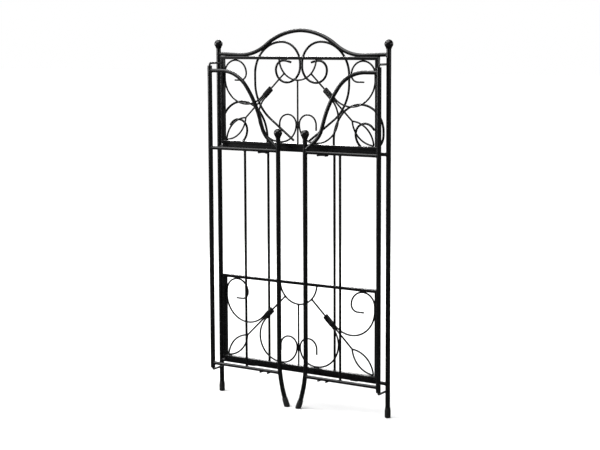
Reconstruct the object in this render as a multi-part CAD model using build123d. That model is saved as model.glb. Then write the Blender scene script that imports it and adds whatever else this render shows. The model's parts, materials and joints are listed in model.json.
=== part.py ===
from build123d import *
import os
from math import cos, radians, sin

# Folding garden plant stand of welded steel, modelled folded flat.
# +X is to the right, +Y to the rear and +Z up, in millimetres.
# The origin is on the floor, in the middle of the folded stand.

# Driving dimensions ---------------------------------------------------------
post_spacing = 568.0        # between the rear posts' axes
hinge_spacing = 562.0       # between the two side frames' hinge axes
fold_gap = 49.0             # from the rear frame's plane to the folded side frames' plane
side_depth = 236.0          # from a side frame's hinge axis to its front leg's axis
post_radius = 6.8
tube_wall = 1.3
finial_radius = 12.2
rear_finial_z = 1038.0      # centre of the ball on a rear post
front_finial_z = 788.0      # centre of the ball on a front leg
upper_rail_z = 737.0        # axes of the rails that carry the upper shelf
lower_rail_z = 96.0         # and the lower one
arch_top_z = 1076.0         # axis of the arch at its crown
foot_height = 29.0
foot_radius = 8.4

rear_y = fold_gap / 2       # plane of the rear frame
side_y = -fold_gap / 2      # plane of the folded side frames
post_x = post_spacing / 2
hinge_x = hinge_spacing / 2
leg_x = hinge_x - side_depth

arch_radius = 5.5
rail_radius = 5.1           # rear rails
cross_radius = 5.0          # side frames' cross rails
s_rail_radius = 5.5
bar_radius = 3.6            # thin upright bars
scroll_radius = 3.3         # rear frame's scrollwork
scroll_layer = 3.35         # of the scrolls in front of and behind the rear frame's plane
wire_radius = 2.55          # shelves' scrollwork
pin_radius = 3.0
running_gap = 0.06          # hinge pin in its bush, on the radius
kiss = 0.03                 # gap between two wires that lie side by side

# Shelf, upright when folded: a frame of rectangular bar filled with scrollwork
shelf_half_width = 262.0
shelf_height = 254.0
shelf_bar_width = 9.0
shelf_bar_depth = 15.0
shelf_lift = 12.0           # from the rear rail's axis to the shelf's lower edge
shelf_y = rear_y - 8.0 - shelf_bar_depth / 2
ring_radius = 62.0
stem_angle = 44.0           # below the horizontal
collar_start = 125.0        # along the stem, from the ring's centre
collar_end = 156.0
leaf_start = 248.0
leaf_end = 342.6
clip_x = 176.0              # shelf hinge clips

MIRROR = Plane.YZ


# Shape helpers --------------------------------------------------------------
def trace(x, z, heading, moves):
    """A wire in the XZ plane, from (x, z). A number is a straight run, and a pair is an arc of
    (radius, turn), where a positive turn is to the left. Also gives the end point."""
    edges = []
    angle = radians(heading)
    for move in moves:
        start = Vector(x, 0, z)
        if isinstance(move, tuple):
            radius, turn = move
            side = 1 if turn > 0 else -1
            centre_x = x - side * radius * sin(angle)
            centre_z = z + side * radius * cos(angle)

            def on_arc(part):
                a = angle + radians(turn) * part
                return Vector(centre_x + side * radius * sin(a), 0, centre_z - side * radius * cos(a))

            middle = on_arc(0.5)
            end = on_arc(1.0)
            edges.append(Edge.make_three_point_arc(start, middle, end))
            angle += radians(turn)
        else:
            end = Vector(x + move * cos(angle), 0, z + move * sin(angle))
            edges.append(Edge.make_line(start, end))
        x = end.X
        z = end.Z
    return Wire(edges), (x, z)


def bent_rod(x, z, heading, moves, radius, y):
    """A round rod bent along a trace, in the plane at y."""
    path, _ = trace(x, z, heading, moves)
    return Pos(0, y, 0) * sweep_round(path, radius)


def sweep_round(path, radius):
    section = Plane(origin=path @ 0, z_dir=path % 0) * Circle(radius)
    return sweep(section, path=path)


def upright(x, y, z_low, z_high, radius):
    return Pos(x, y, z_low) * Cylinder(radius, z_high - z_low, align=(Align.CENTER, Align.CENTER, Align.MIN))


def rod_between(start, end, radius):
    return sweep_round(Wire([Edge.make_line(start, end)]), radius)


def mirrored(shape):
    return mirror(shape, about=MIRROR)


def biggest(shape):
    """The main solid that a cut leaves."""
    return max(shape.solids(), key=lambda s: s.volume)


nodes = {}


def add(name, *solids):
    nodes[name] = [biggest(solid) for solid in solids]


def add_pair(name, left):
    """A left-hand piece and its mirror image."""
    add("left_" + name, *left)
    add("right_" + name, *[mirrored(solid) for solid in left])


# Feet and finials -----------------------------------------------------------
def finial(x, y, z):
    """Cast ball pressed onto the end of a tube."""
    neck_z = z - finial_radius - 1.0
    ball = Pos(x, y, z) * Sphere(finial_radius)
    from_below = (Align.CENTER, Align.CENTER, Align.MIN)
    neck = Pos(x, y, neck_z) * Cone(post_radius + 0.6, post_radius + 2.2, 4, align=from_below)
    return biggest(ball + neck - upright(x, y, neck_z - 5, z - 8, post_radius))


def foot_cap():
    """Moulded cap, standing on z = 0, solid below the tube's end."""
    body = Cylinder(foot_radius, foot_height, align=(Align.CENTER, Align.CENTER, Align.MIN))
    body = fillet(body.edges().group_by(Axis.Z)[0], 2.6)
    return chamfer(body.edges().group_by(Axis.Z)[-1], foot_height * 0.35, foot_radius - post_radius - 0.5)


cap_floor = 4.0             # solid thickness under a tube's end

# Rear frame -----------------------------------------------------------------
post_top_z = rear_finial_z - 8
rear_post_solid = upright(-post_x, rear_y, cap_floor, post_top_z, post_radius)
rear_post = rear_post_solid - upright(-post_x, rear_y, cap_floor, post_top_z, post_radius - tube_wall)
add_pair("rear_post", [rear_post])
add_pair("rear_finial", [finial(-post_x, rear_y, rear_finial_z)])
add_pair("rear_foot", [Pos(-post_x, rear_y, 0) * foot_cap() - rear_post_solid])
both_posts = rear_post_solid + mirrored(rear_post_solid)


def arch_rail():
    """Level ends, then an ogee up to a round crown."""
    turn = 37.0
    crown_radius = 202.0
    sweep_x = crown_radius * sin(radians(turn))
    rise = crown_radius * (1 - cos(radians(turn)))
    shoulder_z = 1006.5
    shoulder_radius = (arch_top_z - rise - shoulder_z) / (1 - cos(radians(turn)))
    start_x = -sweep_x - shoulder_radius * sin(radians(turn))
    droop = 2.0             # the ends lift slightly towards the posts
    half = [(shoulder_radius, turn + droop), (crown_radius, -turn)]
    left, _ = trace(start_x, shoulder_z + 0.1, -droop, half)
    run = post_x + start_x
    lift = run * sin(radians(droop))
    end_line = Edge.make_line(Vector(-post_x, 0, shoulder_z + 0.1 + lift), left @ 0)
    half_wire = Wire([end_line] + list(left.edges()))
    half_rod = sweep_round(half_wire, arch_radius)
    half_rod = half_rod & Pos(-post_x, 0, arch_top_z) * Box(2 * post_x, 100, 400)
    whole = half_rod + mirrored(half_rod)
    return Pos(0, rear_y, 0) * whole


arch = biggest(arch_rail() - both_posts)
add("arch_rail", arch)


def back_rail(z):
    whole = rod_between((-post_x, rear_y, z), (post_x, rear_y, z), rail_radius)
    return biggest(whole - both_posts)


upper_back_rail = back_rail(upper_rail_z)
lower_back_rail = back_rail(lower_rail_z)
add("upper_back_rail", upper_back_rail)
add("lower_back_rail", lower_back_rail)

back_bar_x = 111.5
back_rails = upper_back_rail + lower_back_rail
back_bar = biggest(upright(-back_bar_x, rear_y, lower_rail_z, upper_rail_z, bar_radius) - back_rails)
add("back_bars", back_bar, mirrored(back_bar))


def back_spiral():
    """Right-hand crook above a back bar, which curls outwards and ends in a small eye."""
    moves = [33, (115, -40), (78, -50), (72, -90), 10, (44, -180), (30, -90), (32, -50), 8]
    return bent_rod(back_bar_x, upper_rail_z, 90, moves, scroll_radius, rear_y - scroll_layer)


def heart_scroll():
    """Right half of the heart: from its inner eye round the shoulder, and down to the rail in the middle."""
    moves = [10, (60, -15), (26, -90), (36, -90), (46, -90), 7, (62, -90), (92, -90), 24, (130, -53), 100]
    return bent_rod(34.15, 986.4, 15, moves, scroll_radius, rear_y + scroll_layer)


add_pair("back_spiral", [mirrored(biggest(back_spiral() - back_rails))])
add_pair("heart_scroll", [mirrored(biggest(heart_scroll() - back_rails - arch))])

# Hinge pins: an L-shaped rod above and below each hinge tube, welded to the rear post
tube_low_z = 82.0
tube_high_z = 976.0
pin_reach = 16.0            # of the upright leg inside the hinge tube
pin_bend = 5.0


def hinge_pin(z, toward):
    """From the rear post forwards, then up (+1) or down (-1) into the hinge tube."""
    corner = FilletPolyline((-hinge_x, rear_y, z), (-hinge_x, side_y, z),
                            (-hinge_x, side_y, z + toward * (pin_reach + 6)), radius=pin_bend)
    return biggest(sweep_round(Wire(corner.edges()), pin_radius) - both_posts)


low_pin_z = tube_low_z - 6
high_pin_z = tube_high_z + 7
add_pair("hinge_pins", [hinge_pin(low_pin_z, 1), hinge_pin(high_pin_z, -1)])

# Side frames, left one modelled ---------------------------------------------
bush_length = 14.0
bore_radius = post_radius - tube_wall
tube_solid = upright(-hinge_x, side_y, tube_low_z, tube_high_z, post_radius)
hinge_tube = tube_solid - upright(-hinge_x, side_y, tube_low_z, tube_high_z, bore_radius)


def hinge_bush(z):
    outer = upright(-hinge_x, side_y, z, z + bush_length, bore_radius)
    return outer - upright(-hinge_x, side_y, z, z + bush_length, pin_radius + running_gap)


add_pair("hinge_tube", [hinge_tube])
add_pair("hinge_bushes", [hinge_bush(tube_low_z), hinge_bush(tube_high_z - bush_length)])

leg_bend_radius = 380.0
leg_bend_z = 140.0          # where the front leg starts to splay
leg_splay = 20.6            # turn of the splay, degrees
leg_top_z = front_finial_z - 8


def front_leg_path():
    path, end = trace(-leg_x, leg_top_z, -90, [leg_top_z - leg_bend_z, (leg_bend_radius, leg_splay)])
    return Pos(0, side_y, 0) * path, end


leg_path, leg_end = front_leg_path()
leg_solid = sweep_round(leg_path, post_radius - 0.25)
front_leg = leg_solid - sweep_round(leg_path, post_radius - 0.25 - tube_wall)
add_pair("front_leg", [front_leg])
add_pair("front_finial", [biggest(finial(-leg_x, side_y, front_finial_z) - leg_solid)])


def front_foot():
    """The same cap on the splayed end, ground flat on the floor."""
    drop = 9.0
    x = leg_end[0] + drop * sin(radians(leg_splay))
    z = leg_end[1] - drop * cos(radians(leg_splay))
    cap = Pos(x, side_y, z) * Rot(0, -leg_splay, 0) * foot_cap()
    cap = cap & Pos(x, side_y, 0) * Box(100, 100, 100, align=(Align.CENTER, Align.CENTER, Align.MIN))
    return biggest(cap - leg_solid)


add_pair("front_foot", [front_foot()])


def cross_rail(z):
    whole = rod_between((-hinge_x, side_y, z), (-leg_x, side_y, z), cross_radius)
    return biggest(whole - tube_solid - leg_solid)


upper_cross = cross_rail(upper_rail_z)
lower_cross = cross_rail(lower_rail_z)
add_pair("upper_cross_rail", [upper_cross])
add_pair("lower_cross_rail", [lower_cross])


def s_rail():
    """From the top of the hinge tube over and down to the front leg."""
    moves = [43, (105, -53), (300, -20), 26, (70, 33), 40]
    rod = bent_rod(-hinge_x, 961.5, 0, moves, s_rail_radius, side_y)
    return biggest(rod - tube_solid - leg_solid - upper_cross)


add_pair("s_rail", [s_rail()])

side_bar_x = hinge_x - 122
side_bar = upright(-side_bar_x, side_y, lower_rail_z, upper_rail_z, bar_radius) - upper_cross - lower_cross
add_pair("side_bar", [side_bar])

rest_x = 99.0               # middle of each shelf rest, on the folded side frame
rest_width = 26.0
rest_reach = 16.0
rest_radius = 2.5


def shelf_rest(z):
    """U-shaped rod under a cross rail, which carries the lowered shelf's edge."""
    low = z - cross_radius - rest_radius + 0.2
    near = side_y - 1
    far = side_y + rest_reach
    outer = -rest_x - rest_width / 2
    inner = -rest_x + rest_width / 2
    corners = [(outer, near, low), (outer, far, low), (inner, far, low), (inner, near, low)]
    loop = FilletPolyline(*corners, radius=6)
    return biggest(sweep_round(Wire(loop.edges()), rest_radius) - upper_cross - lower_cross)


add_pair("shelf_rests", [shelf_rest(upper_rail_z), shelf_rest(lower_rail_z)])

# Shelf, with its own z = 0 on the axis of the upper (front) bar --------------
frame_top = shelf_bar_width / 2
frame_bottom = frame_top - shelf_height
inner_half = shelf_half_width - shelf_bar_width


def frame_bar(x_low, x_high, z_low, z_high):
    """Rectangular bar with rounded long edges."""
    width = x_high - x_low
    height = z_high - z_low
    bar = Box(width, shelf_bar_depth, height)
    along = Axis.X if width > height else Axis.Z
    bar = fillet(bar.edges().filter_by(along), 1.8)
    return Pos((x_low + x_high) / 2, shelf_y, (z_low + z_high) / 2) * bar


front_bar = frame_bar(-shelf_half_width, shelf_half_width, -frame_top, frame_top)
rear_bar = frame_bar(-shelf_half_width, shelf_half_width, frame_bottom, frame_bottom + shelf_bar_width)
side_frame_bar = frame_bar(-shelf_half_width, -inner_half, frame_bottom + shelf_bar_width, -frame_top)
shelf_frame = front_bar + rear_bar + side_frame_bar + mirrored(side_frame_bar)

half_ring = biggest(bent_rod(-ring_radius, 0, -90, [(ring_radius, 180)], wire_radius, shelf_y) - front_bar)
centre_bar = biggest(upright(0, shelf_y, frame_bottom, -ring_radius, wire_radius) - half_ring - rear_bar)

stem_dx = cos(radians(stem_angle))
stem_dz = -sin(radians(stem_angle))


def beside_stem(along, across):
    """The point that far along the right-hand stem and that far above it."""
    return along * stem_dx - across * stem_dz, along * stem_dz + across * stem_dx


def stem():
    """Straight stem from the ring with a pointed leaf of two bows at its end."""
    x, z = beside_stem(ring_radius, 0)
    rod = bent_rod(x, z, -stem_angle, [leaf_start - ring_radius], wire_radius, shelf_y)
    half_turn = 41.0
    bow_radius = (leaf_end - leaf_start) / 2 / sin(radians(half_turn))
    x, z = beside_stem(leaf_start, 0)
    for side in (1, -1):
        bow = [(bow_radius, -side * 2 * half_turn)]
        rod += bent_rod(x, z, -stem_angle + side * half_turn, bow, wire_radius, shelf_y)
    return biggest(rod - half_ring - shelf_frame)


strip_depth = 11.0
strip_low = frame_bottom - shelf_lift + 1
hinge_strip = Pos(0, shelf_y, (strip_low + frame_bottom) / 2) * Box(
    2 * shelf_half_width - 6, strip_depth, frame_bottom - strip_low - kiss)

wire_pitch = 2 * wire_radius + kiss
scroll_tail = 124.0         # where both scrolls start, beside the stem


def corner_scroll():
    """Out of the collar, round under the side bar and the front bar to its eye."""
    x, z = beside_stem(scroll_tail, wire_pitch)
    big = 75.0
    small = 37.5
    side_contact = inner_half - wire_radius + 0.05
    straight = (side_contact - big - x + big * stem_dz) / stem_dx
    centre_z = z + straight * stem_dz + big * stem_dx
    rise = -frame_top - wire_radius + 0.05 - small - centre_z
    moves = [straight, (big, 90 + stem_angle), rise, (small, 180), (20, 90), 20]
    return biggest(bent_rod(x, z, -stem_angle, moves, wire_radius, shelf_y) - shelf_frame)


def centre_scroll():
    """Out of the collar, down and round along the rear bar and up beside the centre bar."""
    x, z = beside_stem(scroll_tail, -wire_pitch)
    big = 71.7
    lowest = frame_bottom + shelf_bar_width + wire_radius - 0.05
    straight = (lowest + big - z + big * stem_dx) / stem_dz
    centre_x = x + straight * stem_dx + big * stem_dz
    run = centre_x - 51 - 2 * wire_radius - kiss
    moves = [straight, (big, -180 + stem_angle), run, (51, -90), (28, -180), 16]
    return biggest(bent_rod(x, z, -stem_angle, moves, wire_radius, shelf_y) - shelf_frame)


right_stem = stem()
right_corner = corner_scroll()
right_centre = centre_scroll()


def collar():
    """Band wrapped round the stem and the two scroll tails."""
    length = collar_end - collar_start
    half_width = wire_pitch + wire_radius + 1.1
    half_depth = wire_radius + 1.1
    band = Box(length, 2 * half_depth, 2 * half_width)
    band = fillet(band.edges().filter_by(Axis.X), half_depth - 0.05)
    x, z = beside_stem((collar_start + collar_end) / 2, 0)
    band = Pos(x, shelf_y, z) * Rot(0, stem_angle, 0) * band
    return biggest(band - right_stem - right_corner - right_centre)


def hinge_clip(rail_z_below):
    """Strap bent round the back rail, with its flange on the rear face of the hinge strip."""
    inner = rail_radius + 0.05
    thickness = 1.5
    width = 22.0
    ring = Rot(0, 90, 0) * (Cylinder(inner + thickness, width) - Cylinder(inner, width))
    ring = Pos(clip_x, rear_y, -rail_z_below) * ring
    flange_front = shelf_y + strip_depth / 2 + kiss
    flange_low = strip_low + 1
    flange_height = frame_bottom - flange_low - 1
    flange = Pos(clip_x, flange_front + thickness / 2, flange_low + flange_height / 2) * Box(
        width, thickness, flange_height)
    bridge_rear = rear_y - inner - 0.2
    bridge = Pos(clip_x, (flange_front + bridge_rear) / 2, flange_low + thickness / 2) * Box(
        width, bridge_rear - flange_front, thickness)
    return ring + flange + bridge


rail_below = shelf_lift - frame_bottom
right_collar = collar()
right_clip = hinge_clip(rail_below)

for level, rail_z in (("upper", upper_rail_z), ("lower", lower_rail_z)):
    place = Pos(0, 0, rail_z + rail_below)

    def shelf_node(name, *solids):
        add(level + "_shelf_" + name, *[place * solid for solid in solids])

    shelf_node("front_bar", front_bar)
    shelf_node("rear_bar", rear_bar, hinge_strip)
    shelf_node("side_bars", side_frame_bar, mirrored(side_frame_bar))
    shelf_node("half_ring", half_ring)
    shelf_node("centre_bar", centre_bar)
    shelf_node("stem_leaves", right_stem, mirrored(right_stem))
    shelf_node("left_corner_scroll", mirrored(right_corner))
    shelf_node("right_corner_scroll", right_corner)
    shelf_node("left_centre_scroll", mirrored(right_centre))
    shelf_node("right_centre_scroll", right_centre)
    shelf_node("collars", right_collar, mirrored(right_collar))
    shelf_node("hinge_clips", right_clip, mirrored(right_clip))

# Export ---------------------------------------------------------------------
os.makedirs("parts", exist_ok=True)
for name, solids in nodes.items():
    shape = solids[0] if len(solids) == 1 else Compound(children=solids)
    export_step(shape, "parts/" + name + ".step")
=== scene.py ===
import json
from math import cos, pi, radians, sin, sqrt

import bpy
from mathutils import Matrix, Vector


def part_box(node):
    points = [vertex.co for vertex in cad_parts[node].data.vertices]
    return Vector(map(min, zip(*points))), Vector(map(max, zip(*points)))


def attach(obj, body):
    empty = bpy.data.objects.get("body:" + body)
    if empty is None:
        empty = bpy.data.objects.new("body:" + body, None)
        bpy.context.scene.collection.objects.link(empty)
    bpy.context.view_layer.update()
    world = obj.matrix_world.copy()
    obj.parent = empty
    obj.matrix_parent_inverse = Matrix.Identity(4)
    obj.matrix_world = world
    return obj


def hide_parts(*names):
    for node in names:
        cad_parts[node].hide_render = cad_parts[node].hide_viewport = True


# Folding plant stand of black powder-coated steel. Metres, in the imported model's frame:
# +X to the right, +Y to the rear, +Z up, with the floor at z = 0.
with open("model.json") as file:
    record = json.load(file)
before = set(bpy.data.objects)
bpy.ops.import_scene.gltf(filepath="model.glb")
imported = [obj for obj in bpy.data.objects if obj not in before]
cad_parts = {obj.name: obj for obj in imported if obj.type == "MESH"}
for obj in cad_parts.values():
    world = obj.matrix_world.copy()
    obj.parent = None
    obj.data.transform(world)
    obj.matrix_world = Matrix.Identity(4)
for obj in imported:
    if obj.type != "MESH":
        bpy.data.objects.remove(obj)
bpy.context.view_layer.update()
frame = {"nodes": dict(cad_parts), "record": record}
nodes = frame["nodes"]
SIDES = (("left", -1), ("right", 1))
SIGNS = (-1, 1)
WIRE_GAP = 0.00003           # between the wires that lie side by side in a collar


def middle(node):
    low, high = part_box(node)
    return (Vector(low) + Vector(high)) / 2


def thickness(node, axis):
    low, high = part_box(node)
    return high[axis] - low[axis]


post_radius = thickness("left_rear_post", 1) / 2
rail_radius = thickness("upper_back_rail", 1) / 2
cross_radius = thickness("left_upper_cross_rail", 1) / 2
bar_radius = thickness("back_bars", 1) / 2
wire_radius = thickness("upper_shelf_half_ring", 1) / 2
arch_radius = thickness("arch_rail", 1) / 2
leg_radius = thickness("left_front_leg", 1) / 2
s_rail_radius = thickness("left_s_rail", 1) / 2
wire_pitch = 2 * wire_radius + WIRE_GAP


# Materials ------------------------------------------------------------------
CLOUDS = (22, 4)             # noise scale and detail of the cloudy colour
CLOUD_RANGE = (0.35, 0.65)   # of that noise, from the dark colour to the light one
GRAIN_DETAIL = 3
GRAIN_RANGE = (0.3, 0.7)     # of the grain's noise, from least to most rough
SPECKS = (420, 5)            # noise scale and detail of the specks of bare metal
SPECK_RANGE = (0.64, 0.7)    # of that noise, from coated to bare
MOST_BARE = 0.7
BUMP_STRENGTH = 0.6


def blend_by(tree, factor, dark, light):
    """A colour between two, by a mask."""
    mix = tree.nodes.new("ShaderNodeMix")
    mix.data_type = "RGBA"
    mix.inputs["A"].default_value = (*dark, 1)
    mix.inputs["B"].default_value = (*light, 1)
    tree.links.new(factor, mix.inputs["Factor"])
    return mix.outputs["Result"]


def ranged(tree, value, low_in, high_in, low_out, high_out):
    span = tree.nodes.new("ShaderNodeMapRange")
    span.inputs["From Min"].default_value = low_in
    span.inputs["From Max"].default_value = high_in
    span.inputs["To Min"].default_value = low_out
    span.inputs["To Max"].default_value = high_out
    tree.links.new(value, span.inputs["Value"])
    return span.outputs["Result"]


def noise(tree, coords, scale, detail):
    texture = tree.nodes.new("ShaderNodeTexNoise")
    texture.inputs["Scale"].default_value = scale
    texture.inputs["Detail"].default_value = detail
    tree.links.new(coords, texture.inputs["Vector"])
    return texture.outputs["Fac"]


def coated(name, dark, light, gloss, grain, depth, bare=None):
    """A black finish: cloudy colour and roughness, a fine grain, and specks of bare metal where rubbed.
    gloss is the lowest and highest roughness, and grain and depth are the size and height of the grain."""
    material = bpy.data.materials.new(name)
    material.use_nodes = True
    tree = material.node_tree
    shader = tree.nodes["Principled BSDF"]
    coords = tree.nodes.new("ShaderNodeTexCoord").outputs["Object"]
    clouds = noise(tree, coords, *CLOUDS)
    fine = noise(tree, coords, 1 / grain, GRAIN_DETAIL)
    colour = blend_by(tree, ranged(tree, clouds, *CLOUD_RANGE, 0, 1), dark, light)
    if bare:
        specks = ranged(tree, noise(tree, coords, *SPECKS), *SPECK_RANGE, 0, MOST_BARE)
        mix = tree.nodes.new("ShaderNodeMix")
        mix.data_type = "RGBA"
        mix.inputs["B"].default_value = (*bare, 1)
        tree.links.new(specks, mix.inputs["Factor"])
        tree.links.new(colour, mix.inputs["A"])
        colour = mix.outputs["Result"]
        tree.links.new(specks, shader.inputs["Metallic"])
    tree.links.new(colour, shader.inputs["Base Color"])
    tree.links.new(ranged(tree, fine, *GRAIN_RANGE, *gloss), shader.inputs["Roughness"])
    bump = tree.nodes.new("ShaderNodeBump")
    bump.inputs["Strength"].default_value = BUMP_STRENGTH
    bump.inputs["Distance"].default_value = depth
    tree.links.new(fine, bump.inputs["Height"])
    tree.links.new(bump.outputs["Normal"], shader.inputs["Normal"])
    return material


FINISHES = {
    "black_steel": coated(
        "black_steel", dark=(0.0015, 0.0015, 0.0017), light=(0.004, 0.004, 0.0045),
        gloss=(0.20, 0.31), grain=0.0011, depth=0.00005),
    "hinge_steel": coated(
        "hinge_steel", dark=(0.003, 0.003, 0.0033), light=(0.008, 0.008, 0.009),
        gloss=(0.26, 0.42), grain=0.0009, depth=0.00005, bare=(0.20, 0.195, 0.19)),
    "foot_rubber": coated(
        "foot_rubber", dark=(0.004, 0.004, 0.004), light=(0.009, 0.009, 0.009),
        gloss=(0.50, 0.70), grain=0.0006, depth=0.00010),
    "bush_plastic": coated(
        "bush_plastic", dark=(0.008, 0.008, 0.008), light=(0.015, 0.015, 0.015),
        gloss=(0.45, 0.60), grain=0.0008, depth=0.00004),
}


def paint_cad():
    for part in frame["record"]["subparts"]:
        mesh = nodes[part["node"]]
        if not mesh.material_slots:
            mesh.data.materials.append(None)
        for slot in mesh.material_slots:
            slot.material = FINISHES[part["material_slot"]]


# Mesh helpers ---------------------------------------------------------------
TUBE_SIDES = 10


def round_tube(path, radii, closed, sides=TUBE_SIDES):
    """Vertices and faces of a tube along points, with a radius at each."""
    count = len(path)
    tangents = []
    for i in range(count):
        before = path[i - 1] if closed or i else path[0]
        after = path[(i + 1) % count] if closed or i < count - 1 else path[-1]
        tangents.append((after - before).normalized())
    normal = tangents[0].orthogonal().normalized()
    verts = []
    for point, tangent, radius in zip(path, tangents, radii):
        normal = (normal - tangent * normal.dot(tangent)).normalized()
        across = tangent.cross(normal)
        for k in range(sides):
            angle = 2 * pi * k / sides
            verts.append(point + radius * (normal * cos(angle) + across * sin(angle)))
    faces = []
    for i in range(count if closed else count - 1):
        a = i * sides
        b = (i + 1) % count * sides
        turn = closing_turn(verts, a, b, sides) if closed and i == count - 1 else 0
        for k in range(sides):
            m = (k + 1) % sides
            faces.append((a + k, b + (k + turn) % sides, b + (m + turn) % sides, a + m))
    if not closed:
        faces.append(tuple(range(sides))[::-1])
        faces.append(tuple(range((count - 1) * sides, count * sides)))
    return verts, faces


def closing_turn(verts, a, b, sides):
    """How many steps the last ring is turned from the first."""
    return min(range(sides), key=lambda k: (verts[a] - verts[b + k]).length)


def piece(name, tubes, body, finish="black_steel"):
    """One mesh object of several tubes, riding on a body."""
    verts = []
    faces = []
    for tube_verts, tube_faces in tubes:
        start = len(verts)
        verts += tube_verts
        faces += [tuple(start + v for v in face) for face in tube_faces]
    mesh = bpy.data.meshes.new(name)
    mesh.from_pydata(verts, [], faces)
    mesh.polygons.foreach_set("use_smooth", [True] * len(mesh.polygons))
    mesh.materials.append(FINISHES[finish])
    obj = bpy.data.objects.new(name, mesh)
    bpy.context.scene.collection.objects.link(obj)
    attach(obj, body)
    return obj


# Welds ----------------------------------------------------------------------
BEAD = 0.0011                # thickness of a weld between tubes
SMALL_BEAD = 0.0009          # and of one between thin rods
BEAD_STEPS = 44
BEAD_STANDOFF = 0.25         # of the bead's line from the surface, as a share of its thickness
RIPPLES = 11
RIPPLE_DEPTH = 0.16          # as a share of the thickness
SWELLS = 3
SWELL_DEPTH = 0.10
SWELL_PHASE = 40             # radians a metre of height, so that beads at different heights differ
TACK = 0.0011                # thickness of a tack weld
TACK_STEPS = 9
TACK_TAPER = 0.04            # least squared share of the thickness, at its ends
TACK_RIPPLE = (0.12, 14)     # depth as a share of the thickness, and radians along its length
UP = (0, 0, 1)
RIGHT = (1, 0, 0)
ARCH_END_LIFT = 0.0016       # of the arch's axis at a post, above that of its lowest point
LEG_SHIFT = 0.0026           # towards the middle, where the splayed leg meets its lower cross rail


def saddle_bead(centre, away, along, rod_radius, through_radius, size):
    """A rippled weld bead where a rod leaves a thicker or equal one. centre is on the axis of the one that
    runs through, away points along the rod that leaves it, and along is the axis of the other."""
    away = Vector(away).normalized()
    along = Vector(along).normalized()
    across = away.cross(along)
    path = []
    radii = []
    for i in range(BEAD_STEPS):
        angle = 2 * pi * i / BEAD_STEPS
        side = rod_radius * cos(angle)
        out = sqrt(max(through_radius ** 2 - side ** 2, 0)) + size * BEAD_STANDOFF
        path.append(Vector(centre) + across * side + along * rod_radius * sin(angle) + away * out)
        ripple = RIPPLE_DEPTH * cos(RIPPLES * angle)
        swell = SWELL_DEPTH * sin(SWELLS * angle + SWELL_PHASE * centre[2])
        radii.append(size * (1 + ripple + swell))
    return round_tube(path, radii, True)


def tack(point, direction, length, size=TACK):
    """A small weld run along a line of contact between two rods."""
    direction = Vector(direction).normalized()
    depth, turn = TACK_RIPPLE
    path = []
    radii = []
    for i in range(TACK_STEPS):
        part = i / (TACK_STEPS - 1)
        path.append(Vector(point) + direction * length * (part - 0.5))
        swell = sqrt(max(1 - (2 * part - 1) ** 2, TACK_TAPER))
        radii.append(size * swell * (1 + depth * cos(turn * part)))
    return round_tube(path, radii, False)


def rear_frame_welds():
    beads = []
    for node in ("upper_back_rail", "lower_back_rail"):
        for side, sign in SIDES:
            centre = middle(side + "_rear_post")
            centre.z = middle(node).z
            beads.append(saddle_bead(centre, (-sign, 0, 0), UP, rail_radius, post_radius, BEAD))
    for side, sign in SIDES:
        centre = middle(side + "_rear_post")
        centre.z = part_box("arch_rail")[0][2] + arch_radius + ARCH_END_LIFT
        beads.append(saddle_bead(centre, (-sign, 0, 0), UP, arch_radius, post_radius, BEAD))
    bar_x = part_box("back_bars")[1][0] - bar_radius
    for sign in SIGNS:
        for node, turn in (("upper_back_rail", -1), ("lower_back_rail", 1)):
            centre = middle(node)
            centre.x = sign * bar_x
            beads.append(saddle_bead(centre, (0, 0, turn), RIGHT, bar_radius, rail_radius, SMALL_BEAD))
    piece("rear_frame_welds", beads, "rear_frame")


def side_frame_welds(side, sign):
    beads = []
    tube = middle(side + "_hinge_tube")
    leg_low, leg_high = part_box(side + "_front_leg")
    leg_x = leg_low[0] + leg_radius if side == "left" else leg_high[0] - leg_radius
    for node in (side + "_upper_cross_rail", side + "_lower_cross_rail"):
        for x, turn, radius in ((tube.x, -sign, post_radius), (leg_x, sign, leg_radius)):
            centre = Vector((x, tube.y, middle(node).z))
            if "lower" in node and x == leg_x:
                centre.x -= sign * LEG_SHIFT
            beads.append(saddle_bead(centre, (turn, 0, 0), UP, cross_radius, radius, BEAD))
    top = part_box(side + "_s_rail")[1][2] - s_rail_radius
    centre = Vector((tube.x, tube.y, top))
    beads.append(saddle_bead(centre, (-sign, 0, 0), UP, s_rail_radius, post_radius, BEAD))
    bar = middle(side + "_side_bar")
    for node, turn in ((side + "_upper_cross_rail", -1), (side + "_lower_cross_rail", 1)):
        centre = Vector((bar.x, bar.y, middle(node).z))
        beads.append(saddle_bead(centre, (0, 0, turn), RIGHT, bar_radius, cross_radius, SMALL_BEAD))
    piece(side + "_side_welds", beads, side + "_side")


# Shelves --------------------------------------------------------------------
STEM_ANGLE = radians(44)     # below the horizontal
COLLAR_START = 0.125         # along the stem, from the ring's centre
COLLAR_END = 0.156
WINDING_RADIUS = 0.0006      # of the thin wire wound round the collars
WINDING_GAP = 0.00008        # between one turn and the next
WINDING_SIDES = 8
STEPS_A_TURN = 24
SHELF_BAR_WIDTH = 0.009
SIDE_CONTACT = 0.084         # height of a corner scroll's touch on the side bar, above its lowest point
SIDE_SINK = 0.0002           # of that tack into the bar's face
EYE_INSET = 0.0398           # of a corner scroll's touch on the front bar, from the side bar's face
CENTRE_BEND = 0.0717         # radius of a centre scroll's large bend, which ends on the rear bar
BEND_SHIFT = 0.0035          # of its tack from the end of that bend, towards the middle
SCROLL_TACK = 0.012          # length of a tack on a long touch
EYE_TACK = 0.010             # length of the tack at a corner scroll's eye
RING_TACK = (0.0065, 0.0012)  # length and thickness of the tack at an end of the half ring


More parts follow.
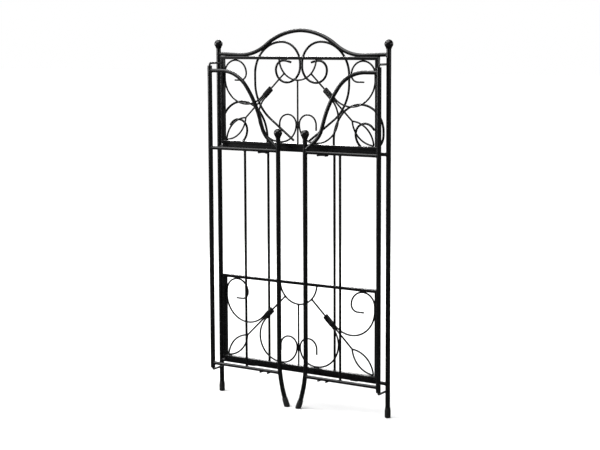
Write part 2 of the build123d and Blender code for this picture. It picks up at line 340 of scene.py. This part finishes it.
def stem_axes(sign):
    """Along a stem, away from the ring, and across it."""
    along = Vector((sign * cos(STEM_ANGLE), 0, -sin(STEM_ANGLE)))
    across = Vector((sign * sin(STEM_ANGLE), 0, cos(STEM_ANGLE)))
    return along, across


def stadium_point(part):
    """A point on the winding's closed outline: across the wires, and through their thickness."""
    rounding = wire_radius + WINDING_RADIUS
    straight = 2 * wire_pitch
    curve = pi * rounding
    distance = part % 1 * 2 * (straight + curve)
    flip = 1
    if distance > straight + curve:
        distance -= straight + curve
        flip = -1
    if distance < straight:
        return flip * (distance - wire_pitch), flip * -rounding
    angle = (distance - straight) / rounding - pi / 2
    return flip * (wire_pitch + rounding * cos(angle)), flip * rounding * sin(angle)


def winding(ring_centre, sign):
    """Thin wire wound closely round a stem and the two scroll tails beside it."""
    along, across = stem_axes(sign)
    pitch = 2 * WINDING_RADIUS + WINDING_GAP
    turns = int((COLLAR_END - COLLAR_START) / pitch)
    steps = turns * STEPS_A_TURN
    path = []
    for i in range(steps + 1):
        turn = i / STEPS_A_TURN
        over, through = stadium_point(turn)
        point = ring_centre + along * (COLLAR_START + WINDING_RADIUS + turn * pitch)
        path.append(point + across * over + Vector((0, through, 0)))
    return round_tube(path, [WINDING_RADIUS] * len(path), False, sides=WINDING_SIDES)


def shelf_pieces(level):
    prefix = level + "_shelf_"
    ring_centre = middle(prefix + "front_bar")
    collars = piece(prefix + "windings", [winding(ring_centre, sign) for sign in SIGNS], "rear_frame")
    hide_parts(prefix + "collars")
    ring_radius = ring_centre.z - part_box(prefix + "half_ring")[0][2] - wire_radius
    frame_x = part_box(prefix + "side_bars")[1][0] - SHELF_BAR_WIDTH
    rear_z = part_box(prefix + "rear_bar")[1][2]
    front_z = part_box(prefix + "front_bar")[0][2]
    beads = []
    bottom = ring_centre - Vector((0, 0, ring_radius))
    beads.append(saddle_bead(bottom, (0, 0, -1), RIGHT, wire_radius, wire_radius, SMALL_BEAD))
    for side, sign in SIDES:
        along, across = stem_axes(sign)
        stem_root = ring_centre + along * ring_radius
        beads.append(saddle_bead(stem_root, along, across, wire_radius, wire_radius, SMALL_BEAD))
        scroll_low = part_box(prefix + side + "_corner_scroll")[0]
        outer_x = sign * (frame_x - SIDE_SINK)
        beads.append(tack((outer_x, ring_centre.y, scroll_low[2] + SIDE_CONTACT), UP, SCROLL_TACK))
        eye_x = sign * (frame_x - EYE_INSET)
        beads.append(tack((eye_x, ring_centre.y, front_z), RIGHT, EYE_TACK))
        reach = max(abs(corner[0]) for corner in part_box(prefix + side + "_centre_scroll"))
        bend_x = sign * (reach - CENTRE_BEND - wire_radius - BEND_SHIFT)
        beads.append(tack((bend_x, ring_centre.y, rear_z), RIGHT, SCROLL_TACK))
        ring_end = Vector((sign * ring_radius, ring_centre.y, front_z))
        beads.append(tack(ring_end, RIGHT, *RING_TACK))
    piece(prefix + "welds", beads, "rear_frame")


# Stage ----------------------------------------------------------------------
BOX_HEIGHT = 1.4             # of a softbox, as a multiple of its width
FLOOR_HALF = 30              # half its width
FLOOR_MOTTLE = (3, 2)        # noise scale and detail
DIM_SURROUND = 0.07          # strength of the surround in reflections, against 1 to the camera
SUN_STRENGTH = 3.9
SUN_ANGLE = radians(70)
SUN_FROM = (-0.5, -0.5, 1.6)  # the direction that it shines from
# Name, place, target, width and power of each softbox.
SOFTBOXES = (
    ("key", (-2.4, -1.5, 1.3), (0, 0, 0.7), 0.8, 40),
    ("fill", (2.6, -0.2, 1.3), (0, 0, 0.6), 0.4, 5),
    ("back_left", (-1.6, 2.4, 1.5), (0, 0, 0.6), 0.7, 30),
    ("back_right", (1.7, 2.5, 1.5), (0, 0, 0.6), 0.5, 14),
)
CAMERA_PLACE = (2.090, -3.265, 1.062)
CAMERA_TURN = radians(32.47)  # to the left, from facing the rear
CAMERA_TILT = radians(83.50)  # up from straight down
CAMERA_LEAN = radians(-0.23)
CAMERA_LENS = 82.5           # millimetres, as the sensor's width below
SENSOR_WIDTH = 36
CAMERA_SHIFT = -0.055


def softbox(name, place, target, width, power):
    light = bpy.data.lights.new(name, "AREA")
    light.shape = "RECTANGLE"
    light.size = width
    light.size_y = width * BOX_HEIGHT
    light.energy = power
    obj = bpy.data.objects.new(name, light)
    obj.location = place
    obj.rotation_euler = (Vector(target) - Vector(place)).to_track_quat("-Z", "Y").to_euler()
    bpy.context.scene.collection.objects.link(obj)


def pale_floor():
    half = FLOOR_HALF
    mesh = bpy.data.meshes.new("floor")
    corners = [(-half, -half, 0), (half, -half, 0), (half, half, 0), (-half, half, 0)]
    mesh.from_pydata(corners, [], [(0, 1, 2, 3)])
    material = bpy.data.materials.new("pale_floor")
    material.use_nodes = True
    tree = material.node_tree
    shader = tree.nodes["Principled BSDF"]
    coords = tree.nodes.new("ShaderNodeTexCoord").outputs["Object"]
    mottle = noise(tree, coords, *FLOOR_MOTTLE)
    colour = blend_by(tree, mottle, (0.95, 0.95, 0.95), (0.97, 0.97, 0.97))
    tree.links.new(colour, shader.inputs["Base Color"])
    shader.inputs["Roughness"].default_value = 0.8
    mesh.materials.append(material)
    floor = bpy.data.objects.new("floor", mesh)
    bpy.context.scene.collection.objects.link(floor)
    floor.visible_glossy = False


def studio_light():
    """White to the camera, but a dim surround in the reflections, so that the black steel stays black."""
    world = bpy.data.worlds.new("studio")
    world.use_nodes = True
    tree = world.node_tree
    background = tree.nodes["Background"]
    background.inputs["Color"].default_value = (1, 1, 1, 1)
    seen = tree.nodes.new("ShaderNodeLightPath").outputs["Is Camera Ray"]
    tree.links.new(ranged(tree, seen, 0, 1, DIM_SURROUND, 1.0), background.inputs["Strength"])
    bpy.context.scene.world = world
    sun = bpy.data.objects.new("sky_panel", bpy.data.lights.new("sky_panel", "SUN"))
    sun.data.energy = SUN_STRENGTH
    sun.data.angle = SUN_ANGLE
    sun.rotation_euler = Vector(SUN_FROM).to_track_quat("Z", "Y").to_euler()
    bpy.context.scene.collection.objects.link(sun)
    for name, place, target, width, power in SOFTBOXES:
        softbox(name, place, target, width, power)
    bpy.context.scene.view_settings.view_transform = "Standard"


def product_camera():
    """Camera to the right of the stand and about as high as its top, looking slightly down."""
    camera = bpy.data.objects.new("camera", bpy.data.cameras.new("camera"))
    camera.data.lens = CAMERA_LENS
    camera.data.sensor_width = SENSOR_WIDTH
    camera.data.shift_y = CAMERA_SHIFT
    camera.location = CAMERA_PLACE
    turn = Matrix.Rotation(CAMERA_TURN, 3, "Z")
    tilt = Matrix.Rotation(CAMERA_TILT, 3, "X")
    lean = Matrix.Rotation(CAMERA_LEAN, 3, "Z")
    camera.rotation_euler = (turn @ tilt @ lean).to_euler()
    bpy.context.scene.collection.objects.link(camera)
    bpy.context.scene.camera = camera


paint_cad()
rear_frame_welds()
for side_name, side_sign in SIDES:
    side_frame_welds(side_name, side_sign)
for level_name in ("upper", "lower"):
    shelf_pieces(level_name)
pale_floor()
studio_light()
product_camera()
